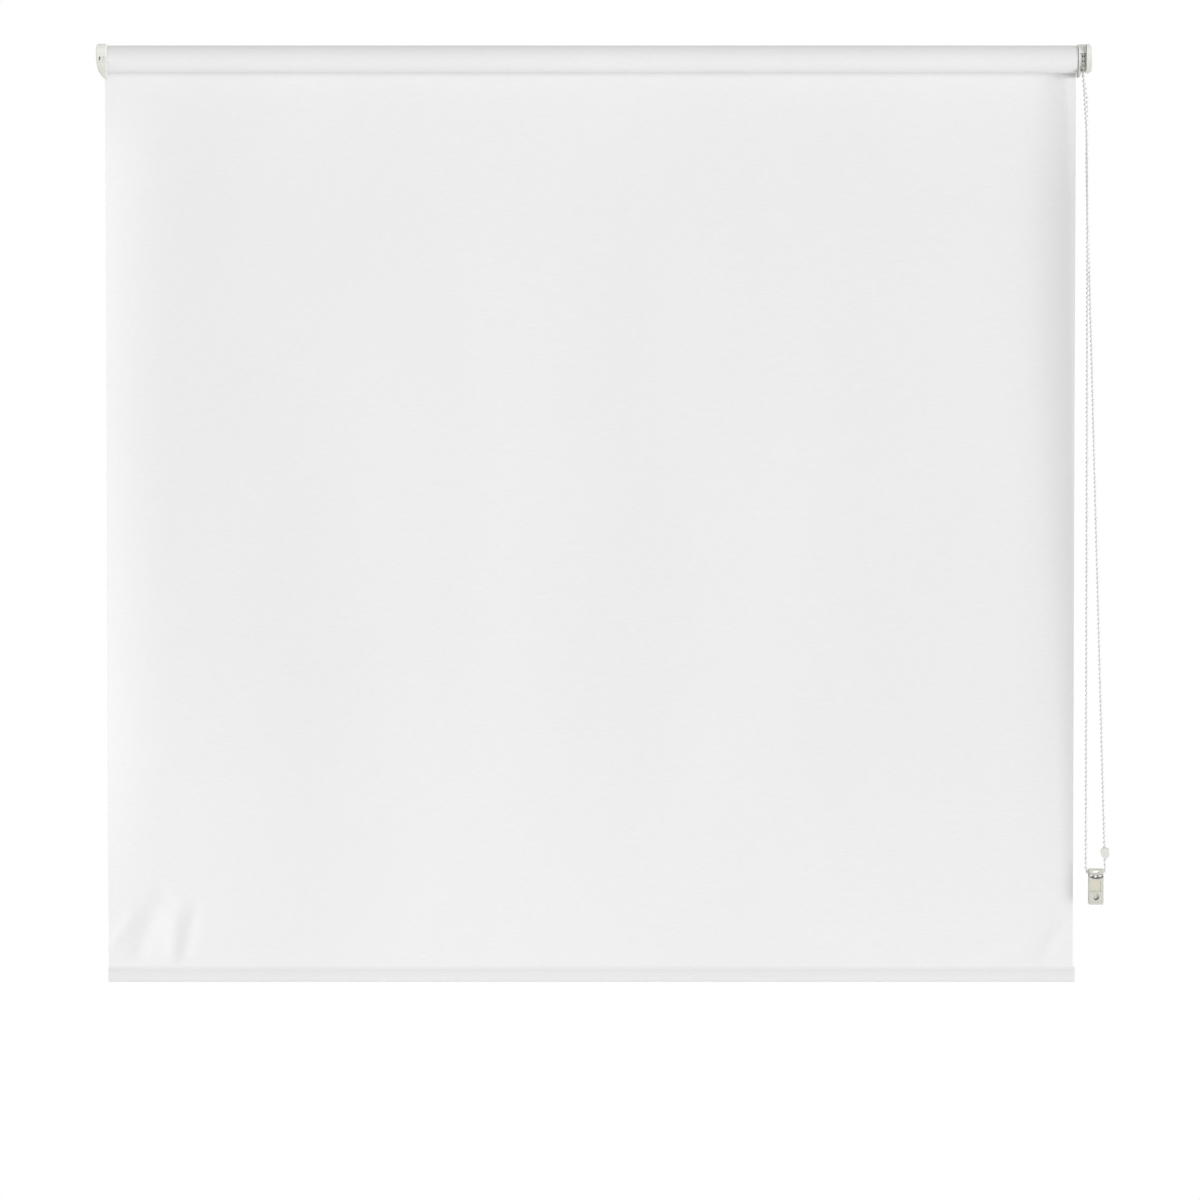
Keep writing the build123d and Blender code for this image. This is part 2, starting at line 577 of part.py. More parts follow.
with BuildPart() as tensioner_body:
    with BuildSketch(FRONT_PLANE.offset(TENSIONER_BACK + TENSIONER_WALL)):
        with Locations((TENSIONER_X, TENSIONER_MIDDLE_Z)):
            RectangleRounded(TENSIONER_WIDTH, TENSIONER_HEIGHT, 1.8)
    extrude(amount=TENSIONER_DEPTH - TENSIONER_WALL)
    fillet(tensioner_body.edges().group_by(Axis.Y)[0], radius=0.8)
    # Room for the slider and its spring.
    with BuildSketch(FRONT_PLANE.offset(TENSIONER_BACK)):
        with Locations((TENSIONER_X, (CAVITY_TOP + CAVITY_BOTTOM) / 2)):
            Rectangle(CAVITY_WIDTH, CAVITY_TOP - CAVITY_BOTTOM)
    extrude(amount=TENSIONER_DEPTH - TENSIONER_WALL, mode=Mode.SUBTRACT)
    # Window for the faceplate, and the screw hole below it.
    with BuildSketch(FRONT_PLANE.offset(TENSIONER_FRONT - 2 * TENSIONER_WALL)):
        with Locations((TENSIONER_X, (WINDOW_TOP + WINDOW_BOTTOM) / 2)):
            Rectangle(WINDOW_WIDTH, WINDOW_TOP - WINDOW_BOTTOM)
        with Locations((TENSIONER_X, TENSIONER_HOLE_Z)):
            Circle(4.0)
    extrude(amount=3 * TENSIONER_WALL, mode=Mode.SUBTRACT)
    # Curved channel for the chain, open to the front, under a saddle with an eye through it.
    with BuildSketch(FRONT_PLANE.offset(-BEND_Y)):
        with Locations(SADDLE_CENTRE):
            Circle(21.8)
            Circle(16.4, mode=Mode.SUBTRACT)
    extrude(amount=TENSIONER_DEPTH, mode=Mode.SUBTRACT)
    chain_tube(BEND_ROUTE, radius=BEAD_R + 0.5, mode=Mode.SUBTRACT)
    with BuildSketch(FRONT_PLANE.offset(TENSIONER_BACK)):
        with Locations((660.6, -1066.6)):
            Ellipse(5.0, 1.9)
    extrude(amount=TENSIONER_DEPTH + 1, mode=Mode.SUBTRACT)
    # Two raised bars across the front.
    with BuildSketch(FRONT_PLANE.offset(TENSIONER_FRONT - 0.3)):
        with Locations((TENSIONER_X, -1093.2)):
            Rectangle(17.6, 1.6)
        with Locations((TENSIONER_X, -1105.9)):
            Rectangle(17.6, 1.4)
    extrude(amount=0.9)

with BuildPart() as tensioner_back:
    with BuildSketch(FRONT_PLANE.offset(TENSIONER_BACK)):
        with Locations((TENSIONER_X, TENSIONER_MIDDLE_Z)):
            RectangleRounded(TENSIONER_WIDTH, TENSIONER_HEIGHT, 1.8)
        with Locations((660.6, -1066.6)):
            Ellipse(5.0, 1.9, mode=Mode.SUBTRACT)
        with Locations((TENSIONER_X, TENSIONER_HOLE_Z)):
            Circle(2.6, mode=Mode.SUBTRACT)
    extrude(amount=TENSIONER_WALL)

with BuildPart() as tensioner_faceplate:
    with BuildSketch(FRONT_PLANE.offset(TENSIONER_FRONT - TENSIONER_WALL)):
        with Locations((TENSIONER_X, (WINDOW_TOP + WINDOW_BOTTOM) / 2)):
            Rectangle(WINDOW_WIDTH - 0.1, WINDOW_TOP - WINDOW_BOTTOM - 0.1)
    extrude(amount=0.9)

SLIDER_TOP = -1089.8
SLIDER_BOTTOM = CAVITY_BOTTOM + 0.4
with BuildPart() as tensioner_slider:
    with BuildSketch(FRONT_PLANE.offset(TENSIONER_BACK + TENSIONER_WALL + 0.3)):
        with Locations((TENSIONER_X, (SLIDER_TOP + SLIDER_BOTTOM) / 2)):
            RectangleRounded(CAVITY_WIDTH - 0.6, SLIDER_TOP - SLIDER_BOTTOM, 1.0)
        with Locations((TENSIONER_X, TENSIONER_HOLE_Z - SLIDER_TRAVEL)):
            Circle(2.3, mode=Mode.SUBTRACT)
    extrude(amount=TENSIONER_DEPTH - 2 * TENSIONER_WALL - 0.6)
    # Countersink for the wall screw's head.
    with BuildSketch(FRONT_PLANE.offset(TENSIONER_FRONT - TENSIONER_WALL - 0.3)) as mouth:
        with Locations((TENSIONER_X, TENSIONER_HOLE_Z - SLIDER_TRAVEL)):
            Circle(3.9)
    extrude(amount=-2.2, taper=36, mode=Mode.SUBTRACT)

with BuildPart() as tensioner_spring:
    spring_length = CAVITY_TOP - SLIDER_TOP - 0.6
    with BuildLine() as spring_path:
        turns = Helix(spring_length / 6, spring_length, 1.9, center=(TENSIONER_X, BEND_Y, SLIDER_TOP + 0.3))
    with BuildSketch(Plane(origin=turns @ 0, z_dir=turns % 0)):
        Circle(0.25)
    sweep(path=spring_path.line, is_frenet=True)

# ---------------------------------------------------------------- labels and files
SUB_PARTS = {
    "roller_tube": roller_tube,
    "tube_tape": tube_tape,
    "fabric_roll": fabric_roll,
    "fabric_panel": fabric_panel,
    "hem_pocket": hem_pocket,
    "bottom_bar": bottom_bar,
    "bar_cap_left": bar_cap_left,
    "bar_cap_right": bar_cap_right,
    "idle_bracket": idle_bracket,
    "idle_bush": idle_bush,
    "idle_cover": idle_cover,
    "control_bracket": control_bracket,
    "control_cover": control_cover,
    "chain_guard": chain_guard,
    "clutch_core": clutch_core,
    "clutch_washer": clutch_washer,
    "clutch_end_screw": clutch_end_screw,
    "bracket_screw": bracket_screw,
    "chain_sprocket": chain_sprocket,
    "wrap_spring_outer": wrap_spring_outer,
    "wrap_spring_inner": wrap_spring_inner,
    "drive_plug": drive_plug,
    "idle_end_plug": idle_end_plug,
    "idle_pin": idle_pin,
    "idle_spring": idle_spring,
    "chain_wheel_wrap": chain_wheel_wrap,
    "chain_front_strand": chain_front_strand,
    "chain_back_strand": chain_back_strand,
    "chain_lower_bend": chain_lower_bend,
    "connector_shell": connector_shell,
    "connector_clip": connector_clip,
    "tensioner_body": tensioner_body,
    "tensioner_back": tensioner_back,
    "tensioner_faceplate": tensioner_faceplate,
    "tensioner_slider": tensioner_slider,
    "tensioner_spring": tensioner_spring,
}

os.makedirs("parts", exist_ok=True)
for label, sub_part in SUB_PARTS.items():
    sub_part.part.label = label
    export_step(sub_part.part, f"parts/{label}.step")

BEAD_AREA = math.pi * BEAD_R**2
for label, route, length, tube in (
    ("front strand", FRONT_ROUTE, front_length, chain_front_strand),
    ("back strand", BACK_ROUTE, back_length, chain_back_strand),
    ("lower bend", BEND_ROUTE, bend_length, chain_lower_bend),
):
    radii = [round(radius, 1) for radius in corner_radii(route)]
    share = tube.part.volume / (length * BEAD_AREA)
    print(f"{label}: length {length:.1f}, volume over section times length {share:.4f}, radii {radii}")
wrap_length = math.pi * PITCH_R
print(f"wheel wrap: length {wrap_length:.1f}, radius {PITCH_R:.2f}")
print(f"whole loop: {front_length + back_length + bend_length + wrap_length:.1f}")
print(f"connector middle: {CONNECTOR_MIDDLE}, direction: {STRAND_DIRECTION}")
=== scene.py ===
"""Roller blind: cloth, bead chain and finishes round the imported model, all in metres.

X runs along the roller towards the chain, Y into the wall and Z up. The origin is midway
between the wall screw holes, level with the roller's axis.
"""

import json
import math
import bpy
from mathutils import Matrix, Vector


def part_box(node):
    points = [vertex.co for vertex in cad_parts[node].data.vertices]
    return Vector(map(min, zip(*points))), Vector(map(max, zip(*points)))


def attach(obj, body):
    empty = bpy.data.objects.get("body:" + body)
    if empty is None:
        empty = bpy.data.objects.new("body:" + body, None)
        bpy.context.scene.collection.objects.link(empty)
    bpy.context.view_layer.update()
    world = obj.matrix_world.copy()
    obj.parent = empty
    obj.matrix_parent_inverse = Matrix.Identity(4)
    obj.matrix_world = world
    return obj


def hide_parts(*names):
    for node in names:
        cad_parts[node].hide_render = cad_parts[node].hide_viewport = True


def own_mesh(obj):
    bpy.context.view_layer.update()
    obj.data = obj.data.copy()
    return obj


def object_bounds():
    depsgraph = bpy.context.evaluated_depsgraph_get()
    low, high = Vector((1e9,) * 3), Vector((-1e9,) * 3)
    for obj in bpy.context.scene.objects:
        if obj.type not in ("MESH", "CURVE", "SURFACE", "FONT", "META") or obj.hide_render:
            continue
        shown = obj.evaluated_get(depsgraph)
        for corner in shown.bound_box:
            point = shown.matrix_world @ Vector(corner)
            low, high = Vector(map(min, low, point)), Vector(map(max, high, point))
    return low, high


bl_info = {
    "name": "Roller Blind",
    "version": (1, 0, 0),
    "blender": (4, 5, 0),
    "location": "View3D > Sidebar > Roller Blind",
    "description": "Builds the cloth, bead chain, finishes and stage of a roller blind",
    "category": "Object",
}

import bpy
from bpy.props import FloatProperty, FloatVectorProperty, IntProperty, PointerProperty
from mathutils import Vector, noise

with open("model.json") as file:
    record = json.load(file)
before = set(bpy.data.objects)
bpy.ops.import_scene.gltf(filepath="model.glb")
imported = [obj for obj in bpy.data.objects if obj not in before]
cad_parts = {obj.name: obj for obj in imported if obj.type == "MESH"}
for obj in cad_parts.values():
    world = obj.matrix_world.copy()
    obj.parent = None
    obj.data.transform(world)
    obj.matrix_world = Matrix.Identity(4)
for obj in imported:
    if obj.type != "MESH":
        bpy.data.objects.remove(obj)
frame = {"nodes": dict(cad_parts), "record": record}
CAD_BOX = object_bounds()

# Where the cloth and the roller sit, from the model's own parts.
PANEL_LOW, PANEL_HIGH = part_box("fabric_panel")
ROLL_LOW, ROLL_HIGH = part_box("fabric_roll")
POCKET_LOW, POCKET_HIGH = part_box("hem_pocket")
ROLLER_Y = (ROLL_LOW.y + ROLL_HIGH.y) / 2
ROLLER_Z = (ROLL_LOW.z + ROLL_HIGH.z) / 2

# The chain's route: over the wheel from its back, down the front strand, round the saddle of
# the tensioner and up the back strand.
CHAIN_ROUTE = (
    (0.6389, -0.01757, 0.0),
    (0.6389, -0.01757, 0.00598),
    (0.6389, -0.02602, 0.01443),
    (0.6389, -0.03798, 0.01443),
    (0.6389, -0.04643, 0.00598),
    (0.6389, -0.04643, 0.0),
    (0.6391, -0.0464, -0.019),
    (0.6413, -0.0459, -0.052),
    (0.6446, -0.0451, -0.104),
    (0.6457, -0.0441, -0.166),
    (0.6481, -0.03214, -1.056),
    (0.64813, -0.032, -1.0654),
    (0.6534, -0.032, -1.071),
    (0.6612, -0.032, -1.073),
    (0.6692, -0.032, -1.0714),
    (0.67346, -0.03198, -1.065),
    (0.6732, -0.03186, -1.056),
    (0.64793, -0.02014, -0.19),
    (0.646, -0.0194, -0.138),
    (0.6471, -0.0188, -0.092),
    (0.6469, -0.0183, -0.052),
    (0.6433, -0.0179, -0.029),
    (0.63895, -0.0176, -0.012),
    (0.6389, -0.01757, 0.0),
)
CHAIN_ON_WHEEL = 0.0453
BEADS_ON_WHEEL = 8
BEAD_SIDES = 12
BEAD_COLLAR = 0.36

# How finely the cloth is divided, and how it lies on the tube and over the bar.
HANGING_COLUMNS, HANGING_ROWS = 256, 240
WOUND_COLUMNS, WOUND_STEPS = 64, 96
SLEEVE_COLUMNS = 420
GAP_BETWEEN_TURNS = 0.00001
HEM_FORWARD = 0.0003
# Painted shade: the hem's cloth colour is darkened by this share.
HEM_PAINTED_SHADE = 0.945
WEAVE_HEIGHT = 0.00004
SLUB_HEIGHT = 0.00005

# The hem sleeve's section from its weld down the front, under the bar and up the back,
# as distances behind the pocket's front face and above its lower face.
WELD_ROW = 4
SLEEVE_SECTION = (
    (-0.00030, 0.02012),
    (-0.00030, 0.0196),
    (-0.00028, 0.0189),
    (-0.00008, 0.0181),
    (0.00010, 0.0175),
    (-0.00036, 0.0162),
    (-0.00090, 0.0144),
    (-0.00134, 0.0118),
    (-0.00152, 0.0090),
    (-0.00146, 0.0064),
    (-0.00108, 0.0041),
    (-0.00030, 0.0020),
    (0.00085, 0.0005),
    (0.00220, -0.0002),
    (0.00350, 0.0005),
    (0.00436, 0.0024),
    (0.00446, 0.0060),
    (0.00446, 0.0120),
    (0.00420, 0.0155),
    (0.00300, 0.0178),
    (0.00150, 0.0189),
    (0.00066, 0.0196),
)

# Creases that start at the lower left corner and near the right end of the hem:
# from and to in X and Z, how far they stand, and how wide they are.
CREASES = (
    (-0.604, -1.185, -0.580, -1.115, 0.0016, 0.013),
    (-0.560, -1.188, -0.552, -1.120, -0.0014, 0.010),
    (-0.552, -1.120, -0.575, -1.090, 0.0008, 0.009),
    (-0.541, -1.180, -0.527, -1.118, 0.0010, 0.008),
    (-0.636, -1.165, -0.612, -1.128, -0.0012, 0.008),
    (-0.480, -1.172, -0.360, -1.164, 0.0007, 0.009),
    (0.470, -1.186, 0.560, -1.160, 0.0007, 0.009),
    (0.588, -1.186, 0.618, -1.140, 0.0010, 0.010),
)


def slot_colour(slot):
    """The colour that the record gives a material slot."""
    return next(m["base_color"][:3] for m in frame["record"]["materials"] if m["slot"] == slot)


def colour_setting(name, description, slot):
    """A colour that a user may change, starting from the record's."""
    return FloatVectorProperty(
        name=name,
        description=description,
        subtype="COLOR",
        size=3,
        min=0.0,
        max=1.0,
        default=slot_colour(slot),
    )


def length_setting(name, description, default, most):
    """A length that a user may change."""
    return FloatProperty(
        name=name,
        description=description,
        subtype="DISTANCE",
        unit="LENGTH",
        precision=5,
        default=default,
        min=0.0,
        max=most,
    )


class BlindClothSettings(bpy.types.PropertyGroup):
    """Sizes and colour of the woven cloth."""

    colour: colour_setting("Cloth", "Colour of the woven polyester", "blind_fabric")
    thread_pitch: length_setting("Thread pitch", "Distance between two threads", 0.0005, 0.005)
    thickness: length_setting("Thickness", "Thickness of the cloth", 0.00034, 0.002)
    wave: length_setting("Wave", "How far the hanging cloth strays from flat", 0.0024, 0.01)
    left_curl: length_setting("Left curl", "How far the left side curls into the room", 0.0075, 0.02)
    right_curl: length_setting("Right curl", "How far the right side curls into the room", 0.0090, 0.02)
    hollow: length_setting("Hollow", "How far the cloth stands back between its sides", 0.009, 0.012)
    curl_width: length_setting("Curled width", "Width of the curl at each side", 0.085, 0.3)
    weld_waver: length_setting("Weld waver", "How far the hem's weld strays", 0.0005, 0.003)
    turns: FloatProperty(
        name="Turns on the tube",
        description="Turns of cloth that stay on the tube when the blind is down",
        default=4.5,
        min=1.0,
        max=12.0,
    )


class BlindChainSettings(bpy.types.PropertyGroup):
    """Sizes and colour of the bead chain."""

    colour: colour_setting("Beads", "Colour of the moulded beads", "chain_plastic")
    bead_diameter: length_setting("Bead diameter", "Diameter of one bead", 0.0045, 0.01)
    thread_diameter: length_setting("Thread diameter", "Diameter of the thread", 0.0011, 0.004)
    beads: IntProperty(
        name="Beads off the wheel",
        description="Beads on the strands between the two sides of the wheel",
        default=360,
        min=20,
        max=2000,
    )


class BlindFinishSettings(bpy.types.PropertyGroup):
    """Colours of the moulded and metal parts."""

    white: colour_setting("White plastic", "Guard, plugs, clutch and bar caps", "white_plastic")
    ivory: colour_setting("Ivory plastic", "End covers and chain wheel", "ivory_plastic")
    cream: colour_setting("Cream plastic", "Body and slider of the tensioner", "cream_plastic")
    beige: colour_setting("Beige plastic", "Front plate of the tensioner", "beige_plastic")
    frosted: colour_setting("Frosted plastic", "Connector of the chain", "clear_plastic")
    tape: colour_setting("Tape", "Adhesive tape on the tube", "adhesive_tape")
    aluminium: colour_setting("Aluminium", "Tube and bottom bar", "aluminium")
    zinc: colour_setting("Zinc plate", "Brackets, washer and screws", "zinc_steel")
    spring: colour_setting("Spring wire", "Wire of the springs", "spring_steel")


class BlindStageSettings(bpy.types.PropertyGroup):
    """Camera, floor and lights."""

    lens: FloatProperty(
        name="Focal length",
        description="Focal length for a sensor 36 mm wide",
        subtype="DISTANCE_CAMERA",
        default=159.9,
        min=20.0,
        max=400.0,
    )
    tilt: FloatProperty(
        name="Downward tilt",
        description="How far the camera looks down",
        subtype="ANGLE",
        default=math.radians(2.575),
        min=-1.5,
        max=1.5,
    )
    distance: length_setting("Distance", "From the roller's axis to the camera", 7.0, 30.0)
    drop: length_setting("Drop", "How far the camera is below the roller's axis", 0.39328, 5.0)
    floor_gap: length_setting("Floor gap", "From the lowest part down to the floor", 0.5, 5.0)
    floor_colour: FloatVectorProperty(
        name="Floor",
        description="Colour of the floor",
        subtype="COLOR",
        size=3,
        min=0.0,
        max=1.0,
        default=(0.80, 0.80, 0.79),
    )
    sky: FloatProperty(
        name="Surrounding light",
        description="Strength of the even light from all round",
        default=1.0,
        min=0.0,
        max=5.0,
    )
    key_strength: FloatProperty(
        name="Key light",
        description="Strength of the broad light from the front right",
        default=2.1,
        min=0.0,
        max=20.0,
    )
    fill_power: FloatProperty(
        name="Fill light",
        description="Power of the large soft light low in front",
        subtype="POWER",
        unit="POWER",
        default=14.0,
        min=0.0,
        max=2000.0,
    )


# ---------------------------------------------------------------- finishes


def new_finish(name, roughness, metallic=0.0):
    """An empty finish: the material, its node tree and its shader."""
    material = bpy.data.materials.new(name)
    material.use_nodes = True
    tree = material.node_tree
    tree.nodes.clear()
    output = tree.nodes.new("ShaderNodeOutputMaterial")
    shader = tree.nodes.new("ShaderNodeBsdfPrincipled")
    shader.inputs["Roughness"].default_value = roughness
    shader.inputs["Metallic"].default_value = metallic
    tree.links.new(shader.outputs["BSDF"], output.inputs["Surface"])
    return material, tree, shader


def stretched_place(tree, stretch):
    """The place on the part, in metres, stretched along its axes."""
    place = tree.nodes.new("ShaderNodeTexCoord")
    mapping = tree.nodes.new("ShaderNodeMapping")
    mapping.inputs["Scale"].default_value = stretch
    tree.links.new(place.outputs["Object"], mapping.inputs["Vector"])
    return mapping.outputs["Vector"]


def cloud(tree, scale, detail=3.0, stretch=(1.0, 1.0, 1.0)):
    """Soft noise with scale lumps to the metre."""
    texture = tree.nodes.new("ShaderNodeTexNoise")
    texture.inputs["Scale"].default_value = scale
    texture.inputs["Detail"].default_value = detail
    tree.links.new(stretched_place(tree, stretch), texture.inputs["Vector"])
    return texture.outputs["Fac"]


def threads(tree, direction, pitch):
    """Rounded ridges across one direction, a pitch apart."""
    texture = tree.nodes.new("ShaderNodeTexWave")
    texture.wave_type = "BANDS"
    texture.bands_direction = direction
    texture.wave_profile = "SIN"
    texture.inputs["Scale"].default_value = 2 * math.pi / (20 * pitch)
    texture.inputs["Distortion"].default_value = 0.6
    texture.inputs["Detail"].default_value = 1.0
    texture.inputs["Detail Scale"].default_value = 0.4
    tree.links.new(stretched_place(tree, (1.0, 1.0, 1.0)), texture.inputs["Vector"])
    return texture.outputs["Fac"]


def spread(tree, value, low, high):
    """The value, from 0.3 to 0.7, spread from low to high."""
    mapped = tree.nodes.new("ShaderNodeMapRange")
    mapped.inputs["From Min"].default_value = 0.3
    mapped.inputs["From Max"].default_value = 0.7
    mapped.inputs["To Min"].default_value = low
    mapped.inputs["To Max"].default_value = high
    tree.links.new(value, mapped.inputs["Value"])
    return mapped.outputs["Result"]


def tinted(colour, share):
    """The colour made lighter or darker by a share."""
    return [min(1.0, max(0.0, c * share)) for c in colour[:3]] + [1.0]


def drift_colour(tree, value, colour, low, high):
    """The colour drifting from low to high of its own strength with the value."""
    ramp = tree.nodes.new("ShaderNodeValToRGB")
    ramp.color_ramp.elements[0].position = 0.3
    ramp.color_ramp.elements[0].color = tinted(colour, low)
    ramp.color_ramp.elements[1].position = 0.7
    ramp.color_ramp.elements[1].color = tinted(colour, high)
    tree.links.new(value, ramp.inputs["Fac"])
    return ramp.outputs["Color"]


def multiplied(tree, first, second):
    """Two colours multiplied."""
    mix = tree.nodes.new("ShaderNodeMix")
    mix.data_type = "RGBA"
    mix.blend_type = "MULTIPLY"
    mix.inputs["Factor"].default_value = 1.0
    tree.links.new(first, mix.inputs[6])
    tree.links.new(second, mix.inputs[7])
    return mix.outputs[2]


def raised(tree, shader, height, distance, under=None):
    """Raises the surface by height times distance, over an earlier bump."""
    bump = tree.nodes.new("ShaderNodeBump")
    bump.inputs["Strength"].default_value = 1.0
    bump.inputs["Distance"].default_value = distance
    tree.links.new(height, bump.inputs["Height"])
    if under is not None:
        tree.links.new(under, bump.inputs["Normal"])
    tree.links.new(bump.outputs["Normal"], shader.inputs["Normal"])
    return bump.outputs["Normal"]


def woven_cloth(name, settings, tone=1.0):
    """Plain woven polyester: warp and weft ridges, slubs and a faint cloudiness.

    tone is the share of the cloth's colour, lowered on the hem as painted shade where the cloth lies
    double over the bar.
    """
    material, tree, shader = new_finish(name, 0.86)
    pitch = settings.thread_pitch
    warp = threads(tree, "X", pitch)
    weft = threads(tree, "Z", pitch * 1.1)
    both = tree.nodes.new("ShaderNodeMath")
    both.operation = "MAXIMUM"
    tree.links.new(warp, both.inputs[0])
    tree.links.new(weft, both.inputs[1])
    lumps = cloud(tree, 3.2, 2.0, (1.0, 1.0, 0.45))
    # Random cloudiness; on the hem, tone darkens it as painted shade.
    broad = drift_colour(tree, lumps, settings.colour, 0.985 * tone, 1.012 * tone)
    streaks = cloud(tree, 900.0, 2.0, (0.12, 1.0, 1.0))
    slubs = drift_colour(tree, streaks, (1.0, 1.0, 1.0), 0.965, 1.0)
    tree.links.new(multiplied(tree, broad, slubs), shader.inputs["Base Color"])
    tree.links.new(spread(tree, cloud(tree, 140.0), 0.82, 0.92), shader.inputs["Roughness"])
    shader.inputs["Sheen Weight"].default_value = 0.12
    shader.inputs["Sheen Roughness"].default_value = 0.5
    shader.inputs["Specular IOR Level"].default_value = 0.25
    weave = raised(tree, shader, both.outputs["Value"], WEAVE_HEIGHT)
    raised(tree, shader, cloud(tree, 260.0, 3.0, (1.0, 1.0, 0.3)), SLUB_HEIGHT, weave)
    return material


def painted_height_shade(tree, foot, foot_tone, head, head_tone):
    """Painted shade: a tone that changes with height, from foot to head."""
    place = tree.nodes.new("ShaderNodeTexCoord")
    split = tree.nodes.new("ShaderNodeSeparateXYZ")
    height = tree.nodes.new("ShaderNodeMapRange")
    height.inputs["From Min"].default_value = foot
    height.inputs["From Max"].default_value = head
    ramp = tree.nodes.new("ShaderNodeValToRGB")
    ramp.color_ramp.elements[0].color = (*foot_tone, 1.0)
    ramp.color_ramp.elements[1].color = (*head_tone, 1.0)
    tree.links.new(place.outputs["Object"], split.inputs["Vector"])
    tree.links.new(split.outputs["Z"], height.inputs["Value"])
    tree.links.new(height.outputs["Result"], ramp.inputs["Fac"])
    return ramp.outputs["Color"]


def moulded(name, colour, roughness, clearness=0.0, recess_shade=0.82, fade=None):
    """Injection-moulded plastic: a fine eroded grain, flow marks and painted shade in its recesses.

    The last argument is the height and share of the colour at the foot and then at the head of a
    part, painted shade that makes it darker towards its foot.
    """
    material, tree, shader = new_finish(name, roughness)
    flow = drift_colour(tree, cloud(tree, 70.0, 2.0, (1.0, 1.0, 0.5)), colour, 0.965, 1.02)
    # Painted shade: the colour darkens in recesses, slots and between parts, where nearby surfaces hem
    # the light in.
    hollow = tree.nodes.new("ShaderNodeAmbientOcclusion")
    hollow.samples = 6
    hollow.inputs["Distance"].default_value = 0.004
    painted_recess_shade = drift_colour(tree, hollow.outputs["AO"], (1.0, 0.995, 0.975), recess_shade, 1.0)
    tone = multiplied(tree, flow, painted_recess_shade)
    # Painted shade: darker towards the foot and lighter at the head, as if lit from above.
    if fade is not None:
        tone = multiplied(tree, tone, painted_height_shade(tree, *fade))
    tree.links.new(tone, shader.inputs["Base Color"])
    rough = spread(tree, cloud(tree, 320.0), roughness - 0.07, roughness + 0.08)
    tree.links.new(rough, shader.inputs["Roughness"])
    shader.inputs["IOR"].default_value = 1.49
    shader.inputs["Transmission Weight"].default_value = clearness
    grain = raised(tree, shader, cloud(tree, 3600.0, 2.0), 0.000012)
    raised(tree, shader, cloud(tree, 180.0, 2.0), 0.00006, grain)
    return material


def drawn_metal(name, colour, roughness, stretch, streaks, dent):
    """Metal with marks along the way it was drawn, rolled or plated."""
    material, tree, shader = new_finish(name, roughness, 1.0)
    marks = cloud(tree, streaks, 4.0, stretch)
    tree.links.new(drift_colour(tree, marks, colour, 0.88, 1.06), shader.inputs["Base Color"])
    rough = spread(tree, marks, roughness - 0.1, roughness + 0.12)
    tree.links.new(rough, shader.inputs["Roughness"])
    raised(tree, shader, cloud(tree, streaks * 2.5, 3.0, stretch), dent)
    return material


def chain_beads(name, colour):
    """Glossy beads that differ a little in tone, with a moulding haze."""
    material, tree, shader = new_finish(name, 0.34)
    tone = drift_colour(tree, cloud(tree, 190.0, 1.0), colour, 0.94, 1.03)
    tree.links.new(tone, shader.inputs["Base Color"])
    tree.links.new(spread(tree, cloud(tree, 700.0), 0.28, 0.46), shader.inputs["Roughness"])
    shader.inputs["Coat Weight"].default_value = 0.15
    shader.inputs["Coat Roughness"].default_value = 0.25
    raised(tree, shader, cloud(tree, 2400.0, 2.0), 0.00001)
    return material


def film_tape(name, colour):
    """Double-sided film tape with cross ripples from its backing."""
    material, tree, shader = new_finish(name, 0.5)
    ripple = threads(tree, "X", 0.0025)
    tone = drift_colour(tree, cloud(tree, 160.0), colour, 0.94, 1.03)
    tree.links.new(tone, shader.inputs["Base Color"])
    tree.links.new(spread(tree, cloud(tree, 300.0), 0.4, 0.6), shader.inputs["Roughness"])
    raised(tree, shader, ripple, 0.00003)
    return material


def plain_floor(name, colour):
    """Pale matt floor with a slight unevenness."""
    material, tree, shader = new_finish(name, 0.8)
    tone = drift_colour(tree, cloud(tree, 2.0), colour, 0.985, 1.015)
    tree.links.new(tone, shader.inputs["Base Color"])
    raised(tree, shader, cloud(tree, 60.0), 0.0001)
    return material


def finish_part(name, material):
    """Gives a finish to one part of the model."""
    node = frame["nodes"][name]
    if not node.material_slots:
        node.data.materials.append(material)
    for place in node.material_slots:
        place.material = material


def finish_parts(slot, material):
    """Gives a finish to every part of the model that has this slot."""
    for part in frame["record"]["subparts"]:
        if part["material_slot"] == slot:
            finish_part(part["node"], material)


def add_piece(name, points, faces, material):
    """A smooth mesh piece from its points and faces."""
    mesh = bpy.data.meshes.new(name)
    mesh.from_pydata(points, [], faces)
    mesh.validate()
    mesh.polygons.foreach_set("use_smooth", [True] * len(mesh.polygons))
    mesh.materials.append(material)
    piece = bpy.data.objects.new(name, mesh)
    bpy.context.scene.collection.objects.link(piece)
    return piece


def thickened(piece, thickness):
    """Gives a single layer of cloth its thickness, half to each side."""
    solid = piece.modifiers.new("Cloth thickness", "SOLIDIFY")
    solid.thickness = thickness
    solid.offset = 0.0
    layers = bpy.context.evaluated_depsgraph_get()
    mesh = bpy.data.meshes.new_from_object(piece.evaluated_get(layers))
    mesh.set_sharp_from_angle(angle=math.radians(40))
    piece.modifiers.clear()
    piece.data = mesh
    return piece


def grid_faces(rows, columns):
    """Faces of a grid whose points run along each row in turn."""
    faces = []
    for r in range(rows - 1):
        for c in range(columns - 1):
            i = r * columns + c
            faces.append((i, i + 1, i + columns + 1, i + columns))
    return faces


def smooth_step(t):
    """0 before 0, 1 after 1, and a smooth rise between them."""
    t = min(1.0, max(0.0, t))
    return t * t * (3 - 2 * t)


# ---------------------------------------------------------------- cloth


